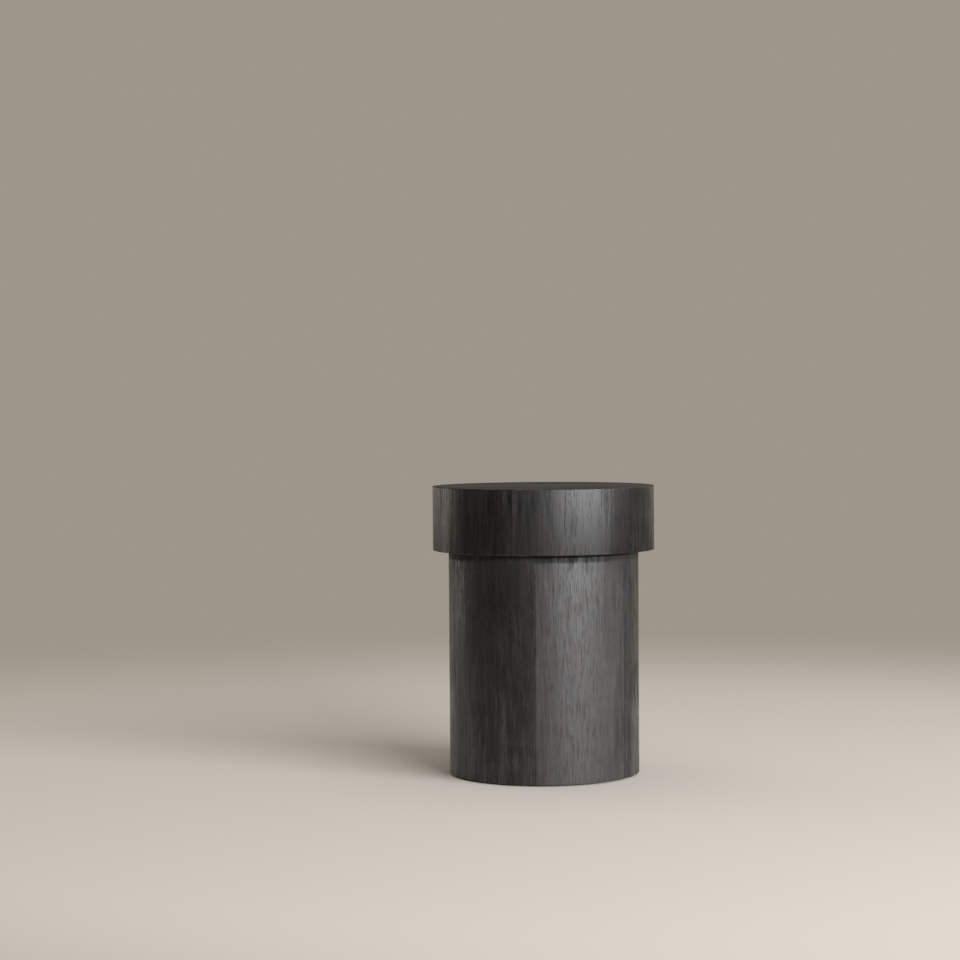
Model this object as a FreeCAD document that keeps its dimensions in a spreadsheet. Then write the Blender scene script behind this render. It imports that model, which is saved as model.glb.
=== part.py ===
import FreeCAD, Part

# Round side table: a veneered drum column with a wider, thick drum cap.
# Both drums are bent-plywood hoops glued round sawn boards. Screws inside the column hold the
# cap, and the column stands on four screw feet. Millimetres, +Z up, floor at zero, centred on
# the table's axis, front towards -Y.

import os
import re

import Sketcher
from FreeCAD import Placement, Rotation, Vector

# Every size of the table, roughly in the order of assembly
SIZES = {
    # The outside, as seen
    "cap_diameter": 400,
    "cap_height": 115,
    "table_height": 520,
    "column_diameter": 343,
    "floor_gap": 2.5,
    # Veneer skins and bent-plywood hoops
    "veneer_thickness": 1,
    "veneer_arris": 0.5,
    "hoop_thickness": 9,
    "hoop_seam_gap": 1,
    "glue_line": 0.1,
    # Inside the cap
    "top_panel_thickness": 18,
    "soffit_thickness": 18,
    "rib_thickness": 15,
    "rib_offset": 60,
    "lap_gap": 0.1,
    "seam_block_width": 60,
    "seam_block_thickness": 18,
    # Inside the column
    "top_former_thickness": 18,
    "base_former_thickness": 18,
    "batten_width": 45,
    "batten_thickness": 22,
    "seam_batten_width": 90,
    # Hatch in the base
    "hatch_hole_inset": 96.4,
    "hatch_ledge_width": 12,
    "hatch_thickness": 5,
    "hatch_gap": 0.4,
    # Screws and washers that hold the cap
    "cap_screw_count": 4,
    "cap_screw_inset": 41,
    "cap_screw_diameter": 8,
    "cap_screw_bite": 15,
    "cap_screw_head_width": 13,
    "cap_screw_head_height": 5.3,
    "cap_screw_hole_gap": 0.5,
    "thread_gap": 0.05,
    "hole_end_gap": 1,
    "washer_width": 24,
    "washer_thickness": 2,
    "washer_gap": 0.2,
    # Screw feet
    "foot_inset": 24,
    "foot_insert_diameter": 12,
    "foot_insert_length": 15,
    "foot_screw_diameter": 8,
    "foot_screw_length": 20,
    "foot_head_width": 13,
    "foot_head_height": 5.3,
    "foot_pad_width": 24,
    "foot_pad_height": 5,
    "foot_pad_floor": 2,
    "foot_pad_chamfer": 1,
    "running_gap": 0.1,
    # How far a cut runs past the face it breaks through
    "cut_overrun": 1,
}

# Levels, radii and lengths that several pieces share
CAP_BASE = "(table_height - cap_height)"
RIM_HEIGHT = "(cap_height - veneer_thickness)"
RIM_FACE = "(cap_diameter / 2 - veneer_thickness)"
RIM_BORE = f"({RIM_FACE} - hoop_thickness)"
PANEL_RADIUS = f"({RIM_BORE} - glue_line)"
RIB_LEVEL = f"({CAP_BASE} + soffit_thickness)"
RIB_HEIGHT = f"({RIM_HEIGHT} - top_panel_thickness - soffit_thickness)"
COLUMN_HEIGHT = f"({CAP_BASE} - floor_gap)"
COLUMN_FACE = "(column_diameter / 2 - veneer_thickness)"
COLUMN_BORE = f"({COLUMN_FACE} - hoop_thickness)"
FORMER_RADIUS = f"({COLUMN_BORE} - glue_line)"
BASE_LEVEL = "(foot_pad_floor + foot_head_height)"
BATTEN_LEVEL = f"({BASE_LEVEL} + base_former_thickness)"
TOP_FORMER_LEVEL = f"({CAP_BASE} - top_former_thickness)"
HATCH_HOLE_WIDTH = f"(2 * ({FORMER_RADIUS} - hatch_hole_inset))"
HATCH_REBATE_WIDTH = f"({HATCH_HOLE_WIDTH} + 2 * hatch_ledge_width)"
CAP_SCREW_CIRCLE = f"({FORMER_RADIUS} - cap_screw_inset)"
FOOT_CIRCLE = f"({FORMER_RADIUS} - foot_inset)"

# Where pieces stand round the axis, in degrees from the right-hand side
RIGHT, BACK, LEFT, FRONT = 0, 90, 180, 270
DIAGONAL = 45
BATTENS = {
    "right_batten": (RIGHT, "batten_width"),
    "seam_batten": (BACK, "seam_batten_width"),
    "left_batten": (LEFT, "batten_width"),
    "front_batten": (FRONT, "batten_width"),
}
FEET = {
    "back_right": RIGHT + DIAGONAL,
    "back_left": BACK + DIAGONAL,
    "front_left": LEFT + DIAGONAL,
    "front_right": FRONT + DIAGONAL,
}
HEXAGON_CORNERS = range(30, 390, 60)

# Two faces closer than this are at the same level
SAME_LEVEL = Part.Precision.confusion()

doc = FreeCAD.newDocument("RoundSideTable")
sheet = doc.addObject("Spreadsheet::Sheet", "Sizes")
for row, (name, size) in enumerate(SIZES.items(), start=1):
    sheet.set(f"A{row}", name)
    sheet.set(f"B{row}", str(size))
    sheet.setAlias(f"B{row}", name)
doc.recompute()


# Sizes and sketches


def formula(text):
    """The text as an expression, with every size in it read from the sheet."""
    return re.sub(r"[a-z][a-z_]*", lambda m: f"Sizes.{m[0]}" if m[0] in SIZES else m[0], text)


def value(text):
    """What the expression gives for the sizes as they stand."""
    return float(sheet.evalExpression(formula(text)))


def bind(thing, setting, text):
    thing.setExpression(setting, formula(text))


def new_body(label, level="0", angle=0):
    """A piece that is drawn from its own underside, then lifted to its level and turned."""
    body = doc.addObject("PartDesign::Body", label)
    body.Label = label
    body.Placement = Placement(Vector(), Rotation(Vector(0, 0, 1), angle))
    if level != "0":
        bind(body, "Placement.Base.z", level)
    return body


def origin_part(body, role):
    return next(part for part in body.Origin.OriginFeatures if part.Role == role)


def new_sketch(body, name, plane="XY_Plane", x="0", z="0", angle=0):
    """A sketch on one of the piece's own planes, moved along it by x and out of it by z."""
    sketch = body.newObject("Sketcher::SketchObject", name)
    sketch.AttachmentSupport = (origin_part(body, plane), [""])
    sketch.MapMode = "FlatFace"
    sketch.AttachmentOffset = Placement(Vector(), Rotation(Vector(0, 0, 1), angle))
    for axis, text in (("x", x), ("z", z)):
        if text != "0":
            bind(sketch, f"AttachmentOffset.Base.{axis}", text)
    return sketch


def constrain(sketch, text, kind, *ends):
    number = sketch.addConstraint(Sketcher.Constraint(kind, *ends, value(text)))
    bind(sketch, f"Constraints[{number}]", text)


def hold_point(sketch, edge, end, x, y):
    """Holds one end of an edge, or its centre, at x and y from the sketch's origin."""
    for kind, axis, text in (("DistanceX", -2, x), ("DistanceY", -1, y)):
        if text == "0":
            sketch.addConstraint(Sketcher.Constraint("PointOnObject", edge, end, axis))
        else:
            constrain(sketch, text, kind, -1, 1, edge, end)


def draw_circle(sketch, radius, x="0"):
    centre = Vector(value(x), 0, 0)
    circle = sketch.addGeometry(Part.Circle(centre, Vector(0, 0, 1), value(radius)))
    hold_point(sketch, circle, 3, x, "0")
    constrain(sketch, radius, "Radius", circle)


def draw_outline(sketch, points):
    """A closed outline of straight edges through points given as pairs of expressions."""
    places = [Vector(value(x), value(y), 0) for x, y in points]
    ends = places[1:] + places[:1]
    edges = [sketch.addGeometry(Part.LineSegment(a, b)) for a, b in zip(places, ends)]
    for edge, following in zip(edges, edges[1:] + edges[:1]):
        sketch.addConstraint(Sketcher.Constraint("Coincident", edge, 2, following, 1))
    for edge, (x, y) in zip(edges, points):
        hold_point(sketch, edge, 1, x, y)


def draw_box(sketch, left, right, low, high):
    draw_outline(sketch, [(left, low), (right, low), (right, high), (left, high)])


def draw_square(sketch, width, x="0"):
    half = f"{width} / 2"
    draw_box(sketch, f"{x} - {half}", f"{x} + {half}", f"-{half}", half)


def draw_hexagon(sketch, width, x="0"):
    """A hexagon whose flats are a width apart, one pair of them square to the x direction."""
    reach = f"({width} / 2 / cos(30 deg))"
    corners = [(f"{x} + {reach} * cos({a} deg)", f"{reach} * sin({a} deg)") for a in HEXAGON_CORNERS]
    draw_outline(sketch, corners)


# Features


def pad(body, sketch, height, centred=False):
    feature = body.newObject("PartDesign::Pad", f"{sketch.Name}_pad")
    feature.Profile = sketch
    feature.Midplane = centred
    bind(feature, "Length", height)
    doc.recompute()
    return feature


def pocket(body, sketch, depth=None, centred=False):
    """A cut from the sketch upwards, right through or to a depth."""
    feature = body.newObject("PartDesign::Pocket", f"{sketch.Name}_cut")
    feature.Profile = sketch
    feature.Reversed = True
    feature.Midplane = centred
    if depth is None:
        feature.Type = "ThroughAll"
    else:
        bind(feature, "Length", depth)
    doc.recompute()
    if not feature.Shape.Volume < feature.BaseFeature.Shape.Volume:
        raise RuntimeError(f"{body.Label}: {feature.Name} cuts nothing")
    return feature


def repeat_round(body, features, count):
    """Copies features evenly round the piece's upright axis."""
    pattern = body.newObject("PartDesign::PolarPattern", f"{features[0].Name}_pattern")
    pattern.Originals = features
    pattern.Axis = (origin_part(body, "Z_Axis"), [""])
    pattern.Angle = 360
    bind(pattern, "Occurrences", str(count))
    body.Tip = pattern
    doc.recompute()


def chamfer_outline(body, size, level):
    """Takes the corner off all round the outside of the flat face at a level."""
    solid = body.Tip
    face = next(
        face
        for face in solid.Shape.Faces
        if isinstance(face.Surface, Part.Plane)
        and abs(face.CenterOfMass.z - value(level)) < SAME_LEVEL
    )
    names = [
        f"Edge{number}"
        for number, edge in enumerate(solid.Shape.Edges, start=1)
        if any(edge.isSame(other) for other in face.OuterWire.Edges)
    ]
    feature = body.newObject("PartDesign::Chamfer", f"{body.Name}_chamfer")
    feature.Base = (solid, names)
    bind(feature, "Size", size)
    doc.recompute()


# Kinds of piece


def disc(label, radius, thickness, level):
    body = new_body(label, level)
    sketch = new_sketch(body, f"{label}_outline")
    draw_circle(sketch, radius)
    pad(body, sketch, thickness)
    return body


def ring(label, outer, inner, thickness, level):
    body = new_body(label, level)
    sketch = new_sketch(body, f"{label}_outline")
    draw_circle(sketch, outer)
    draw_circle(sketch, inner)
    pad(body, sketch, thickness)
    return body


def hoop(label, outer, inner, height, level):
    """A bent-plywood ring with its butt seam at the back."""
    body = ring(label, outer, inner, height, level)
    seam = new_sketch(body, f"{label}_seam", angle=BACK)
    near, far = f"{inner} - cut_overrun", f"{outer} + cut_overrun"
    draw_box(seam, near, far, "-hoop_seam_gap / 2", "hoop_seam_gap / 2")
    pocket(body, seam)


def round_backed_block(label, width, thickness, radius, height, level, angle):
    """An upright block whose outer face is planed to the round wall that it is glued to."""
    body = new_body(label, level, angle)
    sketch = new_sketch(body, f"{label}_outline")
    half = value(f"{width} / 2")
    reach = value(f"sqrt({radius} ^ 2 - ({width} / 2) ^ 2)")
    flat = value(f"{radius} - {thickness}")
    wall = Part.Circle(Vector(), Vector(0, 0, 1), value(radius))
    low_end, high_end = wall.parameter(Vector(reach, -half)), wall.parameter(Vector(reach, half))
    low_side = sketch.addGeometry(Part.LineSegment(Vector(flat, -half), Vector(reach, -half)))
    back = sketch.addGeometry(Part.ArcOfCircle(wall, low_end, high_end))
    high_side = sketch.addGeometry(Part.LineSegment(Vector(reach, half), Vector(flat, half)))
    front = sketch.addGeometry(Part.LineSegment(Vector(flat, half), Vector(flat, -half)))
    for edge, end, following, start in (
        (low_side, 2, back, 1),
        (back, 2, high_side, 1),
        (high_side, 2, front, 1),
        (front, 2, low_side, 1),
        (back, 3, -1, 1),
    ):
        sketch.addConstraint(Sketcher.Constraint("Coincident", edge, end, following, start))
    sketch.addConstraint(Sketcher.Constraint("Horizontal", low_side))
    sketch.addConstraint(Sketcher.Constraint("Horizontal", high_side))
    sketch.addConstraint(Sketcher.Constraint("Vertical", front))
    constrain(sketch, radius, "Radius", back)
    constrain(sketch, f"-{width} / 2", "DistanceY", -1, 1, low_side, 1)
    constrain(sketch, f"{width} / 2", "DistanceY", -1, 1, high_side, 1)
    constrain(sketch, f"{radius} - {thickness}", "DistanceX", -1, 1, front, 1)
    pad(body, sketch, height)


# The table's pieces


def build_skins():
    """The three veneers, which are all that shows of the table from the side and above."""
    top = disc("top_veneer", "cap_diameter / 2", "veneer_thickness", f"({CAP_BASE} + {RIM_HEIGHT})")
    chamfer_outline(top, "veneer_arris", "veneer_thickness")
    inner = f"{RIM_FACE} + glue_line"
    ring("rim_veneer", "cap_diameter / 2", inner, RIM_HEIGHT, CAP_BASE)
    inner = f"{COLUMN_FACE} + glue_line"
    ring("column_veneer", "column_diameter / 2", inner, COLUMN_HEIGHT, "floor_gap")


def build_cap():
    """The cap's drum: a hoop round two boards, with a grid of ribs between them."""
    hoop("rim_hoop", RIM_FACE, RIM_BORE, RIM_HEIGHT, CAP_BASE)
    disc("top_panel", PANEL_RADIUS, "top_panel_thickness", f"({RIB_LEVEL} + {RIB_HEIGHT})")
    soffit = disc("soffit_panel", PANEL_RADIUS, "soffit_thickness", CAP_BASE)
    screw_hole = new_sketch(soffit, "soffit_screw_hole", angle=DIAGONAL)
    draw_circle(screw_hole, "cap_screw_diameter / 2 + thread_gap", CAP_SCREW_CIRCLE)
    hole = pocket(soffit, screw_hole, "cap_screw_bite + hole_end_gap")
    repeat_round(soffit, [hole], "cap_screw_count")
    block_sizes = ("seam_block_width", "seam_block_thickness", PANEL_RADIUS, RIB_HEIGHT)
    round_backed_block("rim_seam_block", *block_sizes, RIB_LEVEL, BACK)


def cap_rib(label, angle, side, slots_up):
    """One board of the half-lapped grid, on edge, slotted to half its height at each crossing."""
    body = new_body(label, RIB_LEVEL, angle)
    half_length = f"sqrt({PANEL_RADIUS} ^ 2 - (rib_offset + rib_thickness / 2) ^ 2)"
    board = new_sketch(body, f"{label}_board", "XZ_Plane", z=f"{-side} * rib_offset")
    draw_box(board, f"-{half_length}", half_length, "0", RIB_HEIGHT)
    pad(body, board, "rib_thickness", centred=True)
    slots = new_sketch(body, f"{label}_slots", "XZ_Plane", z=f"{-side} * rib_offset")
    half_width = "(rib_thickness / 2 + lap_gap)"
    middle = f"{RIB_HEIGHT} / 2"
    low, high = (middle, f"{RIB_HEIGHT} + cut_overrun") if slots_up else ("-cut_overrun", middle)
    for crossing in ("-rib_offset", "rib_offset"):
        draw_box(slots, f"{crossing} - {half_width}", f"{crossing} + {half_width}", low, high)
    pocket(body, slots, "rib_thickness + 2 * cut_overrun", centred=True)


def build_cap_ribs():
    """Two ribs each way. Those from side to side are slotted from above, the others from below."""
    cap_rib("front_cap_rib", RIGHT, -1, slots_up=True)
    cap_rib("back_cap_rib", RIGHT, 1, slots_up=True)
    cap_rib("left_cap_rib", BACK, 1, slots_up=False)
    cap_rib("right_cap_rib", BACK, -1, slots_up=False)


def build_top_former():
    """The board that closes the column's top and carries the cap."""
    former = disc("top_former", FORMER_RADIUS, "top_former_thickness", TOP_FORMER_LEVEL)
    screw_hole = new_sketch(former, "top_former_screw_hole", angle=DIAGONAL)
    draw_circle(screw_hole, "cap_screw_diameter / 2 + cap_screw_hole_gap", CAP_SCREW_CIRCLE)
    repeat_round(former, [pocket(former, screw_hole)], "cap_screw_count")


def build_base_former():
    """The board that carries the feet, with a rebated hatch to reach the cap's screws."""
    former = disc("base_former", FORMER_RADIUS, "base_former_thickness", BASE_LEVEL)
    opening = new_sketch(former, "base_former_opening")
    draw_square(opening, HATCH_HOLE_WIDTH)
    pocket(former, opening)
    rebate = new_sketch(former, "base_former_rebate")
    draw_square(rebate, HATCH_REBATE_WIDTH)
    pocket(former, rebate, "hatch_thickness")
    insert_hole = new_sketch(former, "base_former_insert_hole", angle=DIAGONAL)
    draw_circle(insert_hole, "foot_insert_diameter / 2", FOOT_CIRCLE)
    repeat_round(former, [pocket(former, insert_hole)], len(FEET))

    hatch = new_body("base_hatch", BASE_LEVEL)
    outline = new_sketch(hatch, "base_hatch_outline")
    draw_square(outline, f"({HATCH_REBATE_WIDTH} - 2 * hatch_gap)")
    pad(hatch, outline, "hatch_thickness")


def build_column():
    """The column's drum. Its widest batten backs the seam of the hoop."""
    hoop("column_hoop", COLUMN_FACE, COLUMN_BORE, COLUMN_HEIGHT, "floor_gap")
    build_top_former()
    build_base_former()
    length = f"({TOP_FORMER_LEVEL} - {BATTEN_LEVEL})"
    for label, (angle, width) in BATTENS.items():
        block_sizes = (width, "batten_thickness", FORMER_RADIUS, length)
        round_backed_block(label, *block_sizes, BATTEN_LEVEL, angle)


def build_cap_fixings():
    """Hexagon-headed screws that go up into the cap through square washers."""
    washer_level = f"({TOP_FORMER_LEVEL} - washer_thickness)"
    washers = new_body("cap_washers", washer_level, DIAGONAL)
    outline = new_sketch(washers, "cap_washer_outline")
    draw_square(outline, "washer_width", CAP_SCREW_CIRCLE)
    draw_circle(outline, "cap_screw_diameter / 2 + washer_gap", CAP_SCREW_CIRCLE)
    repeat_round(washers, [pad(washers, outline, "washer_thickness")], "cap_screw_count")

    screws = new_body("cap_screws", f"({washer_level} - cap_screw_head_height)", DIAGONAL)
    hexagon = new_sketch(screws, "cap_screw_hexagon")
    draw_hexagon(hexagon, "cap_screw_head_width", CAP_SCREW_CIRCLE)
    head = pad(screws, hexagon, "cap_screw_head_height")
    round_part = new_sketch(screws, "cap_screw_round", z="cap_screw_head_height")
    draw_circle(round_part, "cap_screw_diameter / 2", CAP_SCREW_CIRCLE)
    shank = pad(screws, round_part, "washer_thickness + top_former_thickness + cap_screw_bite")
    repeat_round(screws, [head, shank], "cap_screw_count")


def stand_at_foot(body, angle):
    bind(body, "Placement.Base.x", f"{FOOT_CIRCLE} * cos({angle} deg)")
    bind(body, "Placement.Base.y", f"{FOOT_CIRCLE} * sin({angle} deg)")


def build_foot(corner, angle):
    """A screw wound right in, whose hexagon head turns in the round recess of its pad."""
    foot_pad = new_body(f"{corner}_foot_pad")
    outline = new_sketch(foot_pad, f"{corner}_pad_outline")
    draw_hexagon(outline, "foot_pad_width")
    pad(foot_pad, outline, "foot_pad_height")
    recess = new_sketch(foot_pad, f"{corner}_pad_recess", z="foot_pad_floor")
    draw_circle(recess, "foot_head_width / 2 / cos(30 deg) + running_gap")
    pocket(foot_pad, recess)
    chamfer_outline(foot_pad, "foot_pad_chamfer", "0")
    stand_at_foot(foot_pad, angle)

    screw = new_body(f"{corner}_foot_screw", "foot_pad_floor")
    head = new_sketch(screw, f"{corner}_screw_head")
    draw_hexagon(head, "foot_head_width")
    pad(screw, head, "foot_head_height")
    shank = new_sketch(screw, f"{corner}_screw_shank", z="foot_head_height")
    draw_circle(shank, "foot_screw_diameter / 2")
    pad(screw, shank, "foot_screw_length")
    stand_at_foot(screw, angle)


def build_feet():
    """Four screw feet, wound up into threaded inserts in the base former."""
    inserts = new_body("foot_inserts", BASE_LEVEL, DIAGONAL)
    outline = new_sketch(inserts, "foot_insert_outline")
    draw_circle(outline, "foot_insert_diameter / 2", FOOT_CIRCLE)
    draw_circle(outline, "foot_screw_diameter / 2 + thread_gap", FOOT_CIRCLE)
    repeat_round(inserts, [pad(inserts, outline, "foot_insert_length")], len(FEET))
    for corner, angle in FEET.items():
        build_foot(corner, angle)


def write_pieces():
    """Checks every object, then writes one STEP file for each piece."""
    doc.recompute()
    for item in doc.Objects:
        if {"Invalid", "Error"} & set(item.State):
            raise RuntimeError(f"{item.Label} failed: {item.State}")
    os.makedirs("parts", exist_ok=True)
    for body in doc.findObjects("PartDesign::Body"):
        shape = body.Shape
        if shape.isNull() or not shape.isValid() or not shape.Solids:
            raise RuntimeError(f"{body.Label} has no valid solid")
        shape.exportStep(os.path.join("parts", f"{body.Label}.step"))
        print(f"{body.Label}: {len(shape.Solids)} solid(s), {shape.Volume:.0f} mm3")


build_skins()
build_cap()
build_cap_ribs()
build_column()
build_cap_fixings()
build_feet()
write_pieces()
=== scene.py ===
import math
import random

import bmesh
import bpy
from mathutils import Matrix, Vector


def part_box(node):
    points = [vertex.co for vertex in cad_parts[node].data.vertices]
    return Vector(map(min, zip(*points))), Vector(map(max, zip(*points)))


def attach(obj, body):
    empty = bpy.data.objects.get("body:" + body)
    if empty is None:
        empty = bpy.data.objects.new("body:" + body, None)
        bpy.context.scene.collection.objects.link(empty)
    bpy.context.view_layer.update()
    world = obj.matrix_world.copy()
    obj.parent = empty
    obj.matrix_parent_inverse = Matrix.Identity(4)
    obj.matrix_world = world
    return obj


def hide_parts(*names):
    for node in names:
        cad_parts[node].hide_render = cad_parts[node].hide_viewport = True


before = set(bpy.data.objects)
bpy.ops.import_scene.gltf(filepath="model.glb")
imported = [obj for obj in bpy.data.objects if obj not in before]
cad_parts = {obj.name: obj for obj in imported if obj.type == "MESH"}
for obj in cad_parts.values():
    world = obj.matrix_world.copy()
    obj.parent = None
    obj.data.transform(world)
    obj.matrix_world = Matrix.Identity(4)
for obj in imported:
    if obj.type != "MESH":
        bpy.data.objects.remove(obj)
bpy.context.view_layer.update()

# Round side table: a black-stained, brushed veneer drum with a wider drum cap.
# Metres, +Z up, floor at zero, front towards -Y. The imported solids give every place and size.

TURN = 2 * math.pi
ROOT_TWO = math.sqrt(2)
CORNERS = ("back_right", "back_left", "front_left", "front_right")
SMOOTH_UP_TO = math.radians(38)

# Veneer skins, a hair thinner than the solids so that they lie clear of the hoops. Their edges
# are eased to an arris, and wear stops a little above it.
SKIN_THICKNESS = 0.0009
SKIN_ARRIS = 0.0005
TOP_ARRIS = 0.0007
TOP_WORN_BAND = 0.00084
WEAR_REACH = 0.0016
ARRIS_STEPS = 4
ROUND_STEPS = 360
TOP_RINGS = (0.02, 0.06, 0.1, 0.14, 0.17, 0.19, 0.1975)

# The leaves that each skin is laid up from: how many, where the first joint is, and how far
# the tone steps from one leaf to the next
COLUMN_LEAVES = 6
COLUMN_FIRST_JOINT = math.radians(85.2)
RIM_LEAVES = 7
RIM_FIRST_JOINT = math.radians(100)
TOP_LEAF_WIDTH = 0.134
JOINT_WIDTH = 0.00028
GOLDEN_SHARE = 0.618034
RIM_TONE_STEP = 0.29

# Threads, cut as one winding groove. The crest is the share of the wave that stays flat, at
# the top of the thread and again at its root.
THREAD_PITCH = 0.00125
THREAD_RADIUS = 0.004
THREAD_DEPTH = 0.00065
THREAD_CREST = 0.12
THREAD_END_CUT = 0.00078
THREAD_ROWS = 8
THREAD_STEPS = 40
SHANK_OVERLAP = 0.0001

# Hexagon heads: the width is across the flats, and the reach is out to a corner
HEX_SIDES = 6
HEX_STEPS = 96
HEX_CRISPNESS = 48
HEAD_WIDTH = 0.013
HEAD_REACH = HEAD_WIDTH / 2 / math.cos(math.pi / HEX_SIDES)
HEAD_FACE_SHARE = 0.96
HEAD_FACE = HEAD_WIDTH / 2 * HEAD_FACE_SHARE
HEAD_HEIGHT = 0.0053
HEAD_CORNER_CUT = 0.0007
HEAD_CUT_SHARES = (0, 0.35, 0.7, 1)
WASHER_HALF_WIDTH = 0.012

# Foot pads. The ring is a shallow groove in the underside: the radius and depth of each edge.
# The bend is how far in and down the lip's middle point lies, as shares of the lip. The
# screw's head stays a seat gap off the pad's floor.
PAD_WIDTH = 0.024
PAD_RING = ((0.0062, 0), (0.0064, 0.0003), (0.0086, 0.0003), (0.0088, 0))
PAD_CHAMFER = 0.001
PAD_CHAMFER_SHARES = (1, 0.55, 0.2, 0)
PAD_CHAMFER_BOW = 1.5
PAD_LIP = 0.0004
PAD_LIP_BEND = (0.6, 0.3)
PAD_RUNNING_GAP = 0.0001
PAD_RECESS = HEAD_REACH + PAD_RUNNING_GAP
PAD_FLOOR = 0.002
SEAT_GAP = 0.00006

# Hatch screws: a low dome with a cross cut in it
HATCH_SCREW_INSET = 0.006
HATCH_SCREW_HEAD = 0.0034
HATCH_SCREW_RISE = 0.0017
HATCH_SCREW_SINK = 0.0002
HATCH_SCREW_STEPS = 48
DOME_LEVELS = (1, 0.98, 0.9, 0.8, 0.7, 0.6, 0.52, 0.45, 0.38, 0.3, 0.22, 0.15, 0.08)
CROSS_REACH = 0.0019
CROSS_HALF_WIDTH = 0.0004
CROSS_DEPTH = 0.001
SCREW_TURN_SEED = 7


# Mesh pieces


def new_piece(name, maker, body, slot, material, *stands_for):
    """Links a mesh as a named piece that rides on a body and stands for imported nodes."""
    mesh = bpy.data.meshes.new(name)
    bmesh.ops.recalc_face_normals(maker, faces=maker.faces)
    maker.to_mesh(mesh)
    maker.free()
    for face in mesh.polygons:
        face.use_smooth = True
    mesh.set_sharp_from_angle(angle=SMOOTH_UP_TO)
    piece = bpy.data.objects.new(name, mesh)
    bpy.context.scene.collection.objects.link(piece)
    mesh.materials.append(material)
    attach(piece, body)
    if stands_for:
        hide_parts(*stands_for)


def at_angle(size, angle):
    """A radius or a height at an angle, given as a number or as a rule of the angle."""
    return size(angle) if callable(size) else size


def ring_of_points(maker, steps, radius, height, centre):
    """One closed ring of points round an upright axis."""
    ring = []
    for step in range(steps):
        angle = TURN * step / steps
        reach = at_angle(radius, angle)
        x, y = centre[0] + reach * math.cos(angle), centre[1] + reach * math.sin(angle)
        ring.append(maker.verts.new((x, y, at_angle(height, angle))))
    return ring


def join_rings(maker, low, high):
    for step in range(len(low)):
        after = (step + 1) % len(low)
        maker.faces.new((low[step], low[after], high[after], high[step]))


def close_ring(maker, ring, centre, height):
    """Closes a ring of points with a fan round its middle."""
    middle = maker.verts.new((centre[0], centre[1], height))
    for step in range(len(ring)):
        maker.faces.new((ring[step], ring[(step + 1) % len(ring)], middle))


def turned_stack(maker, steps, outline, centre=(0, 0)):
    """Joins the rings of an outline, given as pairs of a radius and a height."""
    rings = [ring_of_points(maker, steps, radius, height, centre) for radius, height in outline]
    for low, high in zip(rings, rings[1:]):
        join_rings(maker, low, high)
    return rings


def turned_solid(maker, steps, outline, centre=(0, 0)):
    """A stack of rings, closed flat at its first height and at its last."""
    rings = turned_stack(maker, steps, outline, centre)
    close_ring(maker, rings[0], centre, outline[0][1])
    close_ring(maker, rings[-1], centre, outline[-1][1])


def mark_worn(maker, worn_at):
    """Stores how exposed each point is to wear, from nought to one."""
    worn = maker.verts.layers.float.new("arris")
    for vert in maker.verts:
        vert[worn] = worn_at(vert.co)


# Veneer skins


def round_reach(low, high):
    """The radius of a round piece about the table's middle, from its box."""
    return min(high.x, high.y, -low.x, -low.y)


def rounded_corner(radius, height, size, upward):
    """The few points of a rounded outer edge, from the flat side to the upright face."""
    points = []
    for step in range(ARRIS_STEPS + 1):
        angle = math.pi / 2 * step / ARRIS_STEPS
        inward = size * (1 - math.sin(angle))
        off = size * (1 - math.cos(angle))
        points.append((radius - inward, height - off if upward else height + off))
    return points


def lay_grain(maker, place_at):
    """Stores where each corner of the skin lies on the flat veneer sheet."""
    sheet_map = maker.loops.layers.uv.new("grain")
    for face in maker.faces:
        middle = face.calc_center_median()
        for corner in face.loops:
            corner[sheet_map].uv = place_at(corner.vert.co, middle)


def round_the_drum(radius, first_joint):
    """A rule that unrolls a drum's face from its first leaf joint."""

    def place_at(point, middle):
        near = (math.atan2(middle.y, middle.x) - first_joint) % TURN
        turned = (math.atan2(point.y, point.x) - first_joint) % TURN
        if turned - near > math.pi:
            turned -= TURN
        elif near - turned > math.pi:
            turned += TURN
        return turned * radius, point.z

    return place_at


def drum_skin(name, node, first_joint, material):
    """A band of veneer round a hoop, its lower outer edge eased by hand."""
    low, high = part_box(node)
    radius = round_reach(low, high)
    inner = radius - SKIN_THICKNESS
    outline = [(inner, low.z)]
    outline += rounded_corner(radius, low.z, SKIN_ARRIS, upward=False)
    outline += [(radius, low.z + WEAR_REACH), (radius, high.z), (inner, high.z)]
    maker = bmesh.new()
    rings = turned_stack(maker, ROUND_STEPS, outline)
    join_rings(maker, rings[-1], rings[0])

    def worn_at(point):
        near_edge = point.z - low.z <= SKIN_ARRIS and point.xy.length > inner + SKIN_ARRIS / 2
        return 1.0 if near_edge else 0.0

    lay_grain(maker, round_the_drum(radius, first_joint))
    mark_worn(maker, worn_at)
    new_piece(name, maker, "table", "stained_veneer", material, node)


def top_skin(name, node, material):
    """The round top sheet, its edge eased where hands meet it."""
    low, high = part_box(node)
    radius = round_reach(low, high)
    outline = [(ring, low.z) for ring in TOP_RINGS] + [(radius, low.z)]
    outline += rounded_corner(radius, high.z, TOP_ARRIS, upward=True)[::-1]
    outline += [(ring, high.z) for ring in reversed(TOP_RINGS)]
    maker = bmesh.new()
    turned_solid(maker, ROUND_STEPS, outline)

    def worn_at(point):
        return 1.0 if point.xy.length > radius - TOP_WORN_BAND and point.z > low.z else 0.0

    lay_grain(maker, lambda point, middle: (point.y + radius, point.x))
    mark_worn(maker, worn_at)
    new_piece(name, maker, "table", "stained_veneer", material, node)


# Screws and pads


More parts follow.
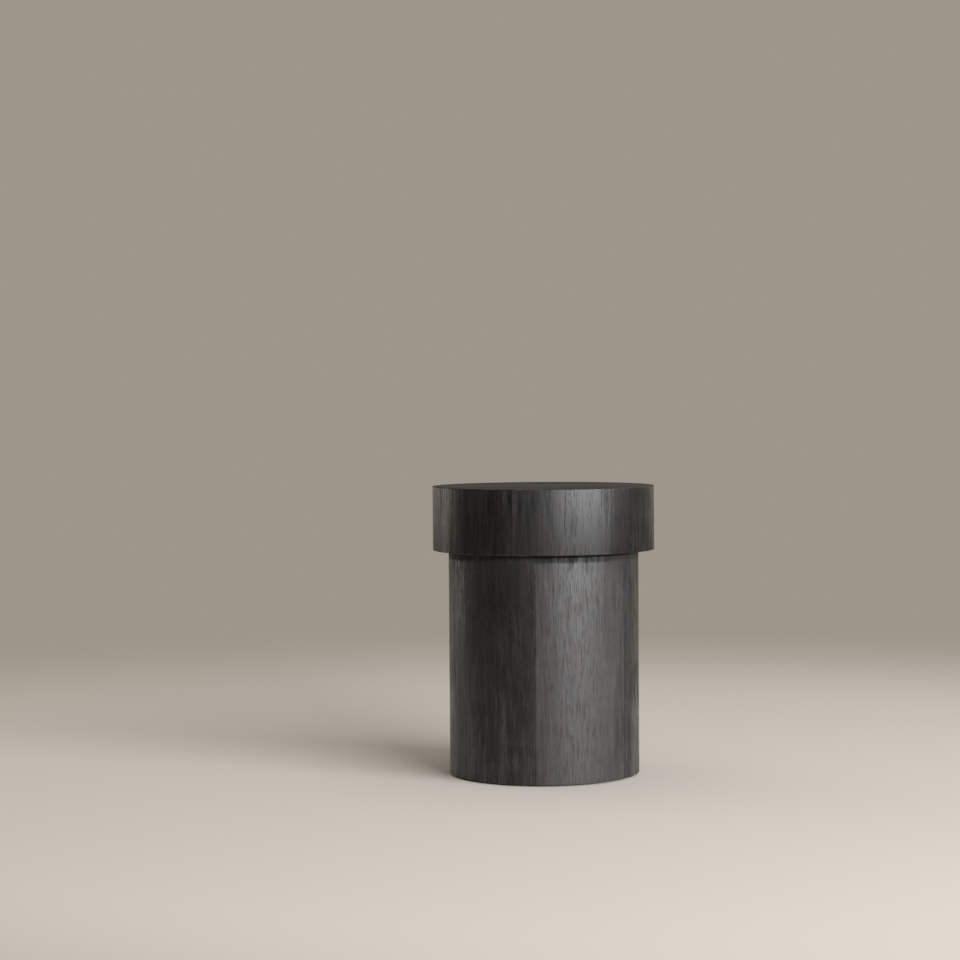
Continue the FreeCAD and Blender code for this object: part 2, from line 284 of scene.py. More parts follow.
def hexagon(width):
    """A rule for the radius of a hexagon with slightly rounded corners."""

    def radius_at(angle):
        total = 0.0
        for side in range(HEX_SIDES // 2):
            total += abs(math.cos(angle - TURN * side / HEX_SIDES)) ** HEX_CRISPNESS
        return width / 2 * total ** (-1 / HEX_CRISPNESS)

    return radius_at


def hexagon_head(maker, centre, bottom, top):
    """A screw's head, both ends turned down to a cone so that no corner is sharp."""
    flats = hexagon(HEAD_WIDTH)

    def turned_to(share):
        limit = HEAD_FACE + (HEAD_REACH - HEAD_FACE) * share
        return lambda angle: min(flats(angle), limit)

    cone = [(turned_to(share), HEAD_CORNER_CUT * share) for share in HEAD_CUT_SHARES]
    outline = [(HEAD_FACE, bottom)]
    outline += [(radius, bottom + cut) for radius, cut in cone]
    outline += [(radius, top - cut) for radius, cut in reversed(cone)]
    outline.append((HEAD_FACE, top))
    turned_solid(maker, HEX_STEPS, outline, centre)


def threaded_shank(maker, centre, bottom, top):
    """A right-hand thread, cut as one winding groove and tapered off at its end."""

    def thread_rule(height):
        taper = max(0.0, 1 - (top - height) / THREAD_PITCH) * THREAD_END_CUT

        def radius_at(angle):
            turns = (height - bottom) / THREAD_PITCH - angle / TURN
            valley = abs(2 * (turns % 1) - 1)
            depth = (valley - THREAD_CREST) / (1 - 2 * THREAD_CREST)
            groove = THREAD_DEPTH * min(1, max(0, depth))
            return THREAD_RADIUS - max(groove, taper)

        return radius_at

    rows = round((top - bottom) / THREAD_PITCH * THREAD_ROWS)
    heights = [bottom + (top - bottom) * row / rows for row in range(rows + 1)]
    outline = [(thread_rule(height), height) for height in heights]
    turned_solid(maker, THREAD_STEPS, outline, centre)


def hexagon_screw(maker, centre, bottom, seat, top):
    """A hexagon head from its bottom to its seat, and the threaded shank above it."""
    hexagon_head(maker, centre, bottom, seat)
    threaded_shank(maker, centre, seat - SHANK_OVERLAP, top)


def foot_screw(corner, material):
    """The levelling screw of one foot, its hexagon head sunk in the pad."""
    node = f"{corner}_foot_screw"
    low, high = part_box(node)
    seat = low.z + HEAD_HEIGHT
    maker = bmesh.new()
    hexagon_screw(maker, ((low + high) / 2).xy, low.z + SEAT_GAP, seat, high.z)
    mark_worn(maker, lambda point: 1.0 if abs(point.z - seat) < HEAD_CORNER_CUT else 0.0)
    piece = f"{corner}_levelling_screw"
    new_piece(piece, maker, f"{corner}_screw", "zinc_steel", material, node)


def foot_glide(corner, material):
    """The moulded pad of one foot, with a round seat for the screw's head."""
    node = f"{corner}_foot_pad"
    low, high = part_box(node)
    outline = [(radius, low.z + depth) for radius, depth in PAD_RING]
    for share in PAD_CHAMFER_SHARES:
        rise = PAD_CHAMFER * (1 - share) ** PAD_CHAMFER_BOW
        outline.append((hexagon(PAD_WIDTH - 2 * PAD_CHAMFER * share), low.z + rise))
    bend_in, bend_down = PAD_LIP_BEND
    outline += [
        (hexagon(PAD_WIDTH), high.z - PAD_LIP),
        (hexagon(PAD_WIDTH - PAD_LIP * bend_in), high.z - PAD_LIP * bend_down),
        (hexagon(PAD_WIDTH - PAD_LIP * 2), high.z),
        (PAD_RECESS + PAD_LIP, high.z),
        (PAD_RECESS, high.z - PAD_LIP),
        (PAD_RECESS, low.z + PAD_FLOOR),
    ]
    maker = bmesh.new()
    turned_solid(maker, HEX_STEPS, outline, ((low + high) / 2).xy)
    mark_worn(maker, lambda point: 1.0 if point.z - low.z < PAD_CHAMFER / 2 else 0.0)
    new_piece(f"{corner}_nylon_glide", maker, f"{corner}_pad", "black_nylon", material, node)


def cap_bolts(material):
    """The four hexagon screws that go up through the column's top board into the cap."""
    low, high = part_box("cap_screws")
    washer_corner = WASHER_HALF_WIDTH * ROOT_TWO
    radius = (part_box("cap_washers")[1].x - washer_corner) * ROOT_TWO
    maker = bmesh.new()
    for corner in range(len(CORNERS)):
        angle = TURN / 8 + TURN * corner / len(CORNERS)
        centre = (radius * math.cos(angle), radius * math.sin(angle))
        hexagon_screw(maker, centre, low.z, low.z + HEAD_HEIGHT, high.z)
    mark_worn(maker, lambda point: 1.0 if point.z - low.z < HEAD_CORNER_CUT else 0.0)
    new_piece("cap_bolts", maker, "table", "zinc_steel", material, "cap_screws")


def hatch_screw(name, centre, seat, turn, material):
    """A small round-headed cross screw. Its sphere is the one that its dome is part of."""
    sphere = (HATCH_SCREW_HEAD**2 + HATCH_SCREW_RISE**2) / (2 * HATCH_SCREW_RISE)

    def dome_rule(radius):
        dome = math.sqrt(sphere**2 - radius**2) - (sphere - HATCH_SCREW_RISE)

        def height_at(angle):
            from_cross = (angle - turn) % (math.pi / 2)
            aside = radius * min(abs(math.sin(from_cross)), abs(math.cos(from_cross)))
            cut = aside < CROSS_HALF_WIDTH and radius < CROSS_REACH
            return seat - dome + (CROSS_DEPTH if cut else 0)

        return height_at

    foot = seat + HATCH_SCREW_SINK
    radii = [HATCH_SCREW_HEAD * level for level in DOME_LEVELS]
    outline = [(HATCH_SCREW_HEAD, foot)] + [(radius, dome_rule(radius)) for radius in radii]
    maker = bmesh.new()
    rings = turned_stack(maker, HATCH_SCREW_STEPS, outline, centre)
    close_ring(maker, rings[0], centre, foot)
    close_ring(maker, rings[-1], centre, seat - HATCH_SCREW_RISE + CROSS_DEPTH)
    mark_worn(maker, lambda point: 0.0)
    new_piece(name, maker, "table", "zinc_steel", material)


def hatch_screws(material):
    """The eight screws that hold the hatch up in its rebate, each stopped at its own angle."""
    low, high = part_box("base_hatch")
    reach = high.x - HATCH_SCREW_INSET
    spots = [(x, y) for x in (-reach, 0, reach) for y in (-reach, 0, reach) if x or y]
    draw = random.Random(SCREW_TURN_SEED)
    for number, centre in enumerate(spots, start=1):
        turn = draw.uniform(0, math.pi / 2)
        hatch_screw(f"hatch_screw_{number}", centre, low.z, turn, material)


# Shader building

MIX_FIRST, MIX_SECOND, MIX_RESULT = 6, 7, 2  # the colour sockets of a mix node


def new_group(name, takes, gives):
    """A shader group with named inputs and outputs, each given as a name, a kind and a value."""
    group = bpy.data.node_groups.new(name, "ShaderNodeTree")
    for label, kind, start in takes:
        socket = group.interface.new_socket(label, in_out="INPUT", socket_type=f"NodeSocket{kind}")
        if start is not None:
            socket.default_value = start
    for label, kind in gives:
        group.interface.new_socket(label, in_out="OUTPUT", socket_type=f"NodeSocket{kind}")
    given, out = group.nodes.new("NodeGroupInput"), group.nodes.new("NodeGroupOutput")
    return group, given.outputs, out.inputs


def place_group(tree, group, **values):
    """Places a shader group, its inputs named in the call with underscores for spaces."""
    node = tree.nodes.new("ShaderNodeGroup")
    node.node_tree = group
    for name, value in values.items():
        feed(tree, node.inputs[name.replace("_", " ").capitalize()], value)
    return node.outputs


def feed(tree, socket, source):
    """Sets a socket to a value, or links it to another node's socket."""
    if isinstance(source, bpy.types.NodeSocket):
        tree.links.new(source, socket)
    else:
        socket.default_value = source


def feed_all(tree, sockets, sources):
    for socket, source in zip(sockets, sources):
        feed(tree, socket, source)


def maths(tree, operation, *sources, clamp=False):
    node = tree.nodes.new("ShaderNodeMath")
    node.operation = operation
    node.use_clamp = clamp
    feed_all(tree, node.inputs, sources)
    return node.outputs[0]


def times(tree, first, second, clamp=False):
    return maths(tree, "MULTIPLY", first, second, clamp=clamp)


def weighed(tree, marks, start=0.0, **weights):
    """A starting value plus the named marks, each times its weight."""
    total = start
    for name, weight in weights.items():
        total = maths(tree, "ADD", times(tree, marks[name], weight), total)
    return total


def between(tree, source, low, high, start=0.0, end=1.0, smooth=True):
    """Maps a value from one span onto another, held at both ends."""
    node = tree.nodes.new("ShaderNodeMapRange")
    node.interpolation_type = "SMOOTHSTEP" if smooth else "LINEAR"
    names = ("Value", "From Min", "From Max", "To Min", "To Max")
    feed_all(tree, [node.inputs[name] for name in names], (source, low, high, start, end))
    return node.outputs[0]


def vectors(tree, operation, *sources):
    node = tree.nodes.new("ShaderNodeVectorMath")
    node.operation = operation
    feed_all(tree, node.inputs, sources)
    return node.outputs["Value" if operation == "LENGTH" else "Vector"]


def join_vector(tree, x, y, z):
    node = tree.nodes.new("ShaderNodeCombineXYZ")
    feed_all(tree, node.inputs, (x, y, z))
    return node.outputs[0]


def split_vector(tree, source):
    node = tree.nodes.new("ShaderNodeSeparateXYZ")
    feed(tree, node.inputs[0], source)
    return node.outputs


def noise_node(tree, place, scale=1.0, detail=2.0, roughness=0.55):
    node = tree.nodes.new("ShaderNodeTexNoise")
    names = ("Vector", "Scale", "Detail", "Roughness")
    feed_all(tree, [node.inputs[name] for name in names], (place, scale, detail, roughness))
    return node.outputs["Fac"]


def mixed_colour(tree, share, first, second):
    """Two colours mixed, each given as a plain colour or as a socket."""
    node = tree.nodes.new("ShaderNodeMix")
    node.data_type = "RGBA"
    feed(tree, node.inputs["Factor"], share)
    for index, colour in ((MIX_FIRST, first), (MIX_SECOND, second)):
        feed(tree, node.inputs[index], (*colour, 1) if isinstance(colour, tuple) else colour)
    return node.outputs[MIX_RESULT]


def laid_over(tree, colour, shade, mask, share):
    """A colour with a shade laid over it where a mask says, at a share of full strength."""
    return mixed_colour(tree, times(tree, mask, share), colour, shade)


# Effects shared by the finishes

LEAF_SHIFT = 0.37
KNOT_CELL_STRETCH = 2.2
KNOT_SQUEEZE = 0.55
KNOT_SWING_ACROSS = 3.2
KNOT_SWING_ALONG = 9.0
KNOT_PULL = -0.75
LAYER_SWAY = 0.35


def make_streaks():
    """Long soft streaks along the grain, from nought between them to one in their middle."""
    takes = [
        ("Place", "Vector", None),
        ("Across", "Float", 0.002),
        ("Along", "Float", 0.08),
        ("Low", "Float", 0.4),
        ("High", "Float", 0.6),
    ]
    group, given, out = new_group("Grain streaks", takes, [("Mask", "Float")])
    size = join_vector(group, given["Across"], given["Along"], given["Across"])
    spread = vectors(group, "DIVIDE", given["Place"], size)
    noise = noise_node(group, spread, detail=2.5, roughness=0.6)
    feed(group, out["Mask"], between(group, noise, given["Low"], given["High"]))
    return group


def make_leaves():
    """Veneer leaves laid edge to edge: each has its own cut of the grain and its own tone."""
    takes = [
        ("Place", "Vector", None),
        ("Leaf width", "Float", 0.18),
        ("Joint width", "Float", 0.0003),
        ("Tone step", "Float", GOLDEN_SHARE),
    ]
    gives = [("Place", "Vector"), ("Tone", "Float"), ("Joint", "Float")]
    group, given, out = new_group("Veneer leaves", takes, gives)
    across = split_vector(group, given["Place"])["X"]
    count = maths(group, "DIVIDE", across, given["Leaf width"])
    leaf = maths(group, "FLOOR", count)
    tone = maths(group, "FRACT", times(group, leaf, given["Tone step"]))
    shift = join_vector(group, times(group, leaf, LEAF_SHIFT), tone, leaf)
    into = maths(group, "FRACT", count)
    edge = maths(group, "MINIMUM", into, maths(group, "SUBTRACT", 1.0, into))
    reach = times(group, edge, given["Leaf width"])
    feed(group, out["Place"], vectors(group, "ADD", given["Place"], shift))
    feed(group, out["Tone"], tone)
    joint = between(group, reach, low=0.0, high=given["Joint width"], start=1.0, end=0.0)
    feed(group, out["Joint"], joint)
    return group


def make_pin_knots():
    """A few pin knots: dark specks that the grain swings round."""
    takes = [
        ("Place", "Vector", None),
        ("Spacing", "Float", 0.05),
        ("Size", "Float", 0.0012),
        ("Share", "Float", 0.2),
    ]
    gives = [("Place", "Vector"), ("Mask", "Float")]
    group, given, out = new_group("Pin knots", takes, gives)
    place, spacing, size = given["Place"], given["Spacing"], given["Size"]
    stretch = join_vector(group, spacing, times(group, spacing, KNOT_CELL_STRETCH), spacing)
    cell = group.nodes.new("ShaderNodeTexVoronoi")
    cell.voronoi_dimensions = "2D"
    feed(group, cell.inputs["Scale"], 1.0)
    feed(group, cell.inputs["Vector"], vectors(group, "DIVIDE", place, stretch))
    centre = vectors(group, "MULTIPLY", cell.outputs["Position"], stretch)
    apart = split_vector(group, vectors(group, "SUBTRACT", place, centre))
    chance = split_vector(group, cell.outputs["Color"])["X"]
    has_knot = maths(group, "LESS_THAN", chance, given["Share"])

    flat = join_vector(group, apart["X"], times(group, apart["Y"], KNOT_SQUEEZE), 0.0)
    reach = maths(group, "DIVIDE", vectors(group, "LENGTH", flat), size)
    speck = between(group, reach, low=0.5, high=1.0, start=1.0, end=0.0)
    feed(group, out["Mask"], times(group, speck, has_knot))

    squares = []
    for way, swing in (("X", KNOT_SWING_ACROSS), ("Y", KNOT_SWING_ALONG)):
        away = maths(group, "DIVIDE", apart[way], times(group, size, swing))
        squares.append(maths(group, "POWER", away, 2.0))
    swell = maths(group, "EXPONENT", times(group, maths(group, "ADD", *squares), -1.0))
    pull = times(group, times(group, apart["X"], swell), times(group, has_knot, KNOT_PULL))
    shift = join_vector(group, pull, 0.0, 0.0)
    feed(group, out["Place"], vectors(group, "ADD", place, shift))
    return group


def make_waver():
    """Makes straight grain wander a little from side to side."""
    takes = [
        ("Place", "Vector", None),
        ("Reach", "Float", 0.004),
        ("Across", "Float", 0.05),
        ("Along", "Float", 0.25),
    ]
    group, given, out = new_group("Grain waver", takes, [("Place", "Vector")])
    size = join_vector(group, given["Across"], given["Along"], given["Across"])
    spread = vectors(group, "DIVIDE", given["Place"], size)
    noise = noise_node(group, spread, detail=2.0, roughness=0.5)
    swing = times(group, maths(group, "SUBTRACT", noise, 0.5), given["Reach"])
    shift = join_vector(group, swing, 0.0, 0.0)
    feed(group, out["Place"], vectors(group, "ADD", given["Place"], shift))
    return group


def make_wear():
    """Handling marks: broken patches along an edge, and a fine scatter of scuffs."""
    takes = [
        ("Place", "Vector", None),
        ("Edge", "Float", 0.0),
        ("Patch size", "Float", 0.01),
        ("Scuffs", "Float", 0.1),
    ]
    group, given, out = new_group("Handling wear", takes, [("Mask", "Float")])
    spread = vectors(group, "DIVIDE", given["Place"], given["Patch size"])
    rub = between(group, noise_node(group, spread, detail=4.0), low=0.42, high=0.66)
    on_edge = times(group, rub, given["Edge"])
    fine = noise_node(group, given["Place"], scale=900.0)
    fine = between(group, fine, low=0.66, high=0.74)
    scatter = times(group, fine, given["Scuffs"])
    feed(group, out["Mask"], maths(group, "ADD", on_edge, scatter, clamp=True))
    return group


def make_layers():
    """The thin layers of plywood, seen on its cut edges, turn about light and dark."""
    takes = [
        ("Depth", "Float", 0.0),
        ("Layer", "Float", 0.0015),
        ("Place", "Vector", None),
    ]
    group, given, out = new_group("Plywood layers", takes, [("Mask", "Float"), ("Glue", "Float")])
    noise = noise_node(group, given["Place"], scale=60.0)
    sway = times(group, maths(group, "SUBTRACT", noise, 0.5), LAYER_SWAY)
    count = maths(group, "ADD", maths(group, "DIVIDE", given["Depth"], given["Layer"]), sway)
    pair = maths(group, "PINGPONG", count, 1.0)
    from_line = maths(group, "ABSOLUTE", maths(group, "SUBTRACT", pair, 0.5))
    glue = between(group, from_line, low=0.0, high=0.08, start=1.0, end=0.0)
    feed(group, out["Mask"], between(group, pair, low=0.42, high=0.58))
    feed(group, out["Glue"], glue)
    return group


STREAKS = make_streaks()
LEAVES = make_leaves()
PIN_KNOTS = make_pin_knots()
WAVER = make_waver()
WEAR = make_wear()
LAYERS = make_layers()


def streaks(tree, place, **sizes):
    return place_group(tree, STREAKS, place=place, **sizes)["Mask"]


def wavered(tree, place, **sizes):
    return place_group(tree, WAVER, place=place, **sizes)["Place"]


def wear(tree, place, **amounts):
    return place_group(tree, WEAR, place=place, **amounts)["Mask"]


# Finishes

# Colours of the stained veneer
STAIN_DARKEST = (0.001, 0.0009, 0.001)
STAIN_TINT = (1.0, 0.98, 0.99)
STAIN_WARM = (0.0155, 0.0125, 0.011)
PORE_BLACK = (0.0014, 0.0013, 0.0013)
SLIT_BLACK = (0.0012, 0.0011, 0.0011)
KNOT_BLACK = (0.0028, 0.0022, 0.002)
JOINT_BLACK = (0.002, 0.002, 0.002)
# Painted shade: the near-black laid on the column just under the cap, standing in for the cap's
# shadow
SHADE_UNDER_CAP_BLACK = (0.001, 0.001, 0.001)
WORN_WOOD = (0.075, 0.058, 0.044)

# Painted shade under the cap, standing in for the cap's shadow on the column: how far below the
# cap its dark line and its fade start and are full, its share in the fade, and how much it dulls
# the lacquer
SHADE_UNDER_CAP_LINE = (0.020, 0.011)
SHADE_UNDER_CAP_FADE = (0.09, 0.012)
SHADE_UNDER_CAP_FADE_SHARE = 0.3
SHADE_UNDER_CAP_DULLING = 0.5
LACQUER_ROUGHNESS = 0.36

# Colours of the other finishes
PLY_STAIN_THICK = (0.006, 0.0056, 0.0052)
PLY_STAIN_THIN = (0.034, 0.031, 0.027)
PLY_PORE = (0.003, 0.003, 0.003)
PLY_SCUFF = (0.12, 0.09, 0.06)
PINE_PALE = (0.62, 0.44, 0.25)
PINE_RING = (0.40, 0.22, 0.09)
BIRCH_PALE = (0.62, 0.46, 0.29)
BIRCH_FIGURE = (0.47, 0.32, 0.18)
BIRCH_EDGE_PALE = (0.55, 0.4, 0.25)
BIRCH_EDGE_BROWN = (0.33, 0.2, 0.11)
BIRCH_GLUE = (0.12, 0.06, 0.03)
HARDBOARD_DARK = (0.035, 0.019, 0.011)
HARDBOARD_PALE = (0.11, 0.062, 0.034)
HARDBOARD_FLECK = (0.02, 0.011, 0.006)
HARDBOARD_SCUFF = (0.2, 0.13, 0.08)
ZINC_BLUISH = (0.50, 0.52, 0.54)
ZINC_PALE = (0.72, 0.72, 0.69)
ZINC_DULL = (0.36, 0.34, 0.31)
NYLON_BLACK = (0.008, 0.008, 0.0085)
NYLON_GREYER = (0.016, 0.0158, 0.0155)
NYLON_RUBBED = (0.045, 0.044, 0.042)


def new_finish(name, **constants):
    """A material with one surface shader. The constants are set on its own sockets."""
    material = bpy.data.materials.new(name)
    material.use_nodes = True
    shader = material.node_tree.nodes["Principled BSDF"]
    for socket, value in constants.items():
        shader.inputs[socket.replace("_", " ")].default_value = value
    return material, material.node_tree, shader


def set_surface(tree, shader, colour, roughness, height, relief):
    """Gives a shader its colour, its roughness, and its bumps over a real depth of relief."""
    feed(tree, shader.inputs["Base Color"], colour)
    feed(tree, shader.inputs["Roughness"], roughness)
    bump = tree.nodes.new("ShaderNodeBump")
    bump.inputs["Strength"].default_value = 1.0
    bump.inputs["Distance"].default_value = relief
    feed(tree, bump.inputs["Height"], height)
    tree.links.new(bump.outputs["Normal"], shader.inputs["Normal"])


def sheet_place(tree):
    """Where a point lies on the flat veneer sheet: across the grain, then along it."""
    node = tree.nodes.new("ShaderNodeUVMap")
    node.uv_map = "grain"
    return node.outputs["UV"]


def solid_place(tree):
    node = tree.nodes.new("ShaderNodeTexCoord")
    return node.outputs["Object"]


def board_place(tree):
    """A place on a level board, its grain from side to side, and its depth in the board."""
    spot = split_vector(tree, solid_place(tree))
    return join_vector(tree, spot["Y"], spot["X"], spot["Z"]), spot["Z"]


def edge_value(tree):
    node = tree.nodes.new("ShaderNodeAttribute")
    node.attribute_name = "arris"
    return node.outputs["Fac"]


def veneer_marks(tree, leaves, stretch):
    """Every mark of the grain, each from nought to one. The stretch lengthens the streaks."""
    wavy = wavered(tree, leaves["Place"], reach=0.01, across=0.05, along=0.4)
    knots = place_group(tree, PIN_KNOTS, place=wavy, spacing=0.05, size=0.0014, share=0.2)
    place = wavered(tree, knots["Place"], reach=0.0006, across=0.006, along=0.05)
    place = vectors(tree, "DIVIDE", place, (1.0, stretch, 1.0))
    clouds = noise_node(tree, leaves["Place"], scale=13.0, detail=3.0)
    return {
        "bands": streaks(tree, place, across=0.018, along=0.15, low=0.38, high=0.62),
        "lines": streaks(tree, place, across=0.0052, along=0.05, low=0.38, high=0.64),
        "hairs": streaks(tree, place, across=0.002, along=0.024, low=0.4, high=0.66),
        "pores": streaks(tree, place, across=0.0011, along=0.013, low=0.6, high=0.7),
        "slits": streaks(tree, place, across=0.00042, along=0.007, low=0.54, high=0.64),
        "clouds": between(tree, clouds, low=0.3, high=0.7),
        "knots": knots["Mask"],
        "leaves": leaves["Tone"],
        "joints": leaves["Joint"],
    }


def veneer_colour(tree, marks, place, lightest):
    """The stain's colour, lightest where the grain took it least."""
    tone = weighed(
        tree, marks, start=-0.66, bands=0.36, lines=0.38, hairs=0.27, leaves=0.72, clouds=0.18
    )
    light = tuple(lightest * share for share in STAIN_TINT)
    colour = mixed_colour(tree, tone, STAIN_DARKEST, light)
    warmth = noise_node(tree, place, scale=26.0, detail=1.0)
    warmth = between(tree, warmth, low=0.4, high=0.62)
    colour = laid_over(tree, colour, STAIN_WARM, warmth, share=0.35)
    colour = laid_over(tree, colour, PORE_BLACK, marks["pores"], share=0.75)
    colour = laid_over(tree, colour, SLIT_BLACK, marks["slits"], share=0.7)
    colour = mixed_colour(tree, marks["knots"], colour, KNOT_BLACK)
    colour = laid_over(tree, colour, JOINT_BLACK, marks["joints"], share=0.8)
    worn = wear(tree, place, edge=edge_value(tree), patch_size=0.02, scuffs=0.0)
    return laid_over(tree, colour, WORN_WOOD, worn, share=0.55)


def painted_shade_under_cap(tree, along, corner):
    """Painted shade in the corner under the cap, standing in for the cap's shadow: a dark line,
    and a fade below it.
    """
    line = between(tree, along, *(corner - reach for reach in SHADE_UNDER_CAP_LINE))
    fade = between(tree, along, *(corner - reach for reach in SHADE_UNDER_CAP_FADE))
    return maths(tree, "MAXIMUM", line, times(tree, fade, SHADE_UNDER_CAP_FADE_SHARE))


def stained_veneer(
    name,
    leaf_width,
    tone_step,
    stretch,
    roughest,
    swing,
    shine,
    lightest,
    relief,
    corner=None,
    polish=None,
):
    """Open-grained veneer, wire-brushed, stained black and sealed with a satin lacquer.

    The stretch lengthens the streaks, the swing is how much they change the roughness, and the
    relief is how deep they lie. The corner is the height of the cap's underside, with painted
    shade below it. The polish is the pair of heights between which the lacquer grows thicker.
    """
    material, tree, shader = new_finish(name, IOR=1.5, Specular_IOR_Level=shine)
    sheet = sheet_place(tree)
    along = split_vector(tree, sheet)["Y"]
    leaves = place_group(
        tree,
        LEAVES,
        place=sheet,
        leaf_width=leaf_width,
        joint_width=JOINT_WIDTH,
        tone_step=tone_step,
    )
    marks = veneer_marks(tree, leaves, stretch)
    colour = veneer_colour(tree, marks, leaves["Place"], lightest)
    gloss = weighed(
        tree, marks, lines=-0.2, hairs=-0.24, bands=-0.14, pores=0.24, slits=0.16, clouds=-0.08
    )
    roughness = maths(tree, "ADD", times(tree, gloss, swing), roughest, clamp=True)
    # Painted shade under the cap: the colour goes darker and the roughness rises, standing in for
    # the cap's shadow
    if corner:
        shade_under_cap = painted_shade_under_cap(tree, along, corner)
        colour = laid_over(tree, colour, SHADE_UNDER_CAP_BLACK, shade_under_cap, share=0.9)
        dulled = times(tree, shade_under_cap, SHADE_UNDER_CAP_DULLING)
        roughness = maths(tree, "ADD", roughness, dulled, clamp=True)
    if polish:
        shader.inputs["Coat Roughness"].default_value = LACQUER_ROUGHNESS
        upward = between(tree, along, *polish, smooth=False)
        sealed = weighed(
            tree, marks, start=0.14, lines=0.38, hairs=0.48, bands=0.2, pores=-0.5, slits=-0.12
        )
        feed(tree, shader.inputs["Coat Weight"], times(tree, upward, sealed, clamp=True))
    height = weighed(
        tree,
        marks,
        bands=1.0,
        lines=0.5,
        hairs=0.24,
        pores=-0.3,
        slits=-0.14,
        joints=-0.12,
        knots=-0.3,
    )
    set_surface(tree, shader, colour, roughness, height, relief)
    return material


def stained_plywood():
    """Plywood stained black by brush, thinner where the grain took less."""
    material, tree, shader = new_finish("stained_plywood", IOR=1.5, Specular_IOR_Level=0.4)
    place, depth = board_place(tree)
    marks = {
        "lines": streaks(tree, place, across=0.003, along=0.09, low=0.35, high=0.7),
        "pores": streaks(tree, place, across=0.0007, along=0.01, low=0.58, high=0.68),
        "layers": place_group(tree, LAYERS, depth=depth, layer=0.0018, place=place)["Mask"],
        "patches": noise_node(tree, place, scale=14.0, detail=4.0),
    }
    tone = weighed(tree, marks, lines=0.4, patches=0.6, layers=0.12)
    colour = mixed_colour(tree, tone, PLY_STAIN_THICK, PLY_STAIN_THIN)
    colour = laid_over(tree, colour, PLY_PORE, marks["pores"], share=0.6)
    worn = wear(tree, place, edge=0.0, patch_size=0.02, scuffs=0.35)
    colour = laid_over(tree, colour, PLY_SCUFF, worn, share=0.3)
    roughness = weighed(tree, marks, start=0.62, patches=0.25, lines=-0.08, pores=0.15)
    height = weighed(tree, marks, lines=0.4, pores=-0.7)
    set_surface(tree, shader, colour, roughness, height, relief=0.0001)
    return material


def planed_pine():
    """Planed bare pine, the grain upright: growth rings, fine fibres and each board's colour."""
    material, tree, shader = new_finish("pine", IOR=1.5, Specular_IOR_Level=0.35)
    spot = split_vector(tree, solid_place(tree))
    place = join_vector(tree, spot["X"], spot["Z"], spot["Y"])
    wavy = wavered(tree, place, reach=0.014, across=0.04, along=0.3)
    marks = {
        "rings": streaks(tree, wavy, across=0.006, along=0.36, low=0.36, high=0.62),
        "fibres": streaks(tree, wavy, across=0.0008, along=0.03, low=0.4, high=0.7),
        "board": noise_node(tree, place, scale=3.0, detail=1.0),
    }
    tone = weighed(tree, marks, rings=0.55, fibres=0.25, board=0.2)
    colour = mixed_colour(tree, tone, PINE_PALE, PINE_RING)
    roughness = weighed(tree, marks, start=0.68, rings=-0.12, fibres=0.08)
    height = weighed(tree, marks, rings=0.4, fibres=-0.5)
    set_surface(tree, shader, colour, roughness, height, relief=0.0001)
    return material


def birch_plywood():
    """Bare birch plywood: pale faces, and brown layers turn about on the edges."""
    material, tree, shader = new_finish("birch_plywood", IOR=1.5, Specular_IOR_Level=0.35)
    place, depth = board_place(tree)
    wavy = wavered(tree, place, reach=0.02, across=0.06, along=0.35)
    layers = place_group(tree, LAYERS, depth=depth, layer=0.0014, place=place)
    marks = {
        "figure": streaks(tree, wavy, across=0.006, along=0.2, low=0.35, high=0.65),
        "fibres": streaks(tree, wavy, across=0.0007, along=0.02, low=0.45, high=0.7),
        "glue": layers["Glue"],
    }
    normal = tree.nodes.new("ShaderNodeNewGeometry").outputs["Normal"]
    upright = maths(tree, "ABSOLUTE", split_vector(tree, normal)["Z"])
    on_edge = between(tree, upright, low=0.4, high=0.6, start=1.0, end=0.0)
    tone = weighed(tree, marks, figure=0.5, fibres=0.25)
    face = mixed_colour(tree, tone, BIRCH_PALE, BIRCH_FIGURE)
    edge = mixed_colour(tree, layers["Mask"], BIRCH_EDGE_PALE, BIRCH_EDGE_BROWN)
    edge = laid_over(tree, edge, BIRCH_GLUE, marks["glue"], share=0.6)
    colour = mixed_colour(tree, on_edge, face, edge)
    roughness = weighed(tree, marks, start=0.66, figure=-0.1, fibres=0.1)
    height = weighed(tree, marks, fibres=-0.5, glue=-0.4)
    set_surface(tree, shader, colour, roughness, height, relief=0.00008)
    return material


def brown_hardboard():
    """Smooth pressed hardboard, mottled with darker fibres."""
    material, tree, shader = new_finish("hardboard", IOR=1.5, Specular_IOR_Level=0.45)
    place = solid_place(tree)
    flecks = noise_node(tree, place, scale=620.0)
    marks = {
        "mottle": noise_node(tree, place, scale=160.0, detail=5.0, roughness=0.7),
        "cloud": noise_node(tree, place, scale=12.0),
        "flecks": between(tree, flecks, low=0.6, high=0.7),
    }
    tone = weighed(tree, marks, mottle=0.7, cloud=0.3)
    colour = mixed_colour(tree, tone, HARDBOARD_DARK, HARDBOARD_PALE)
    colour = laid_over(tree, colour, HARDBOARD_FLECK, marks["flecks"], share=0.5)
    worn = wear(tree, place, edge=0.0, patch_size=0.01, scuffs=0.5)
    colour = laid_over(tree, colour, HARDBOARD_SCUFF, worn, share=0.4)
    roughness = weighed(tree, marks, start=0.38, mottle=0.25)
    height = weighed(tree, marks, mottle=0.5, flecks=0.5)
    set_surface(tree, shader, colour, roughness, height, relief=0.00008)
    return material


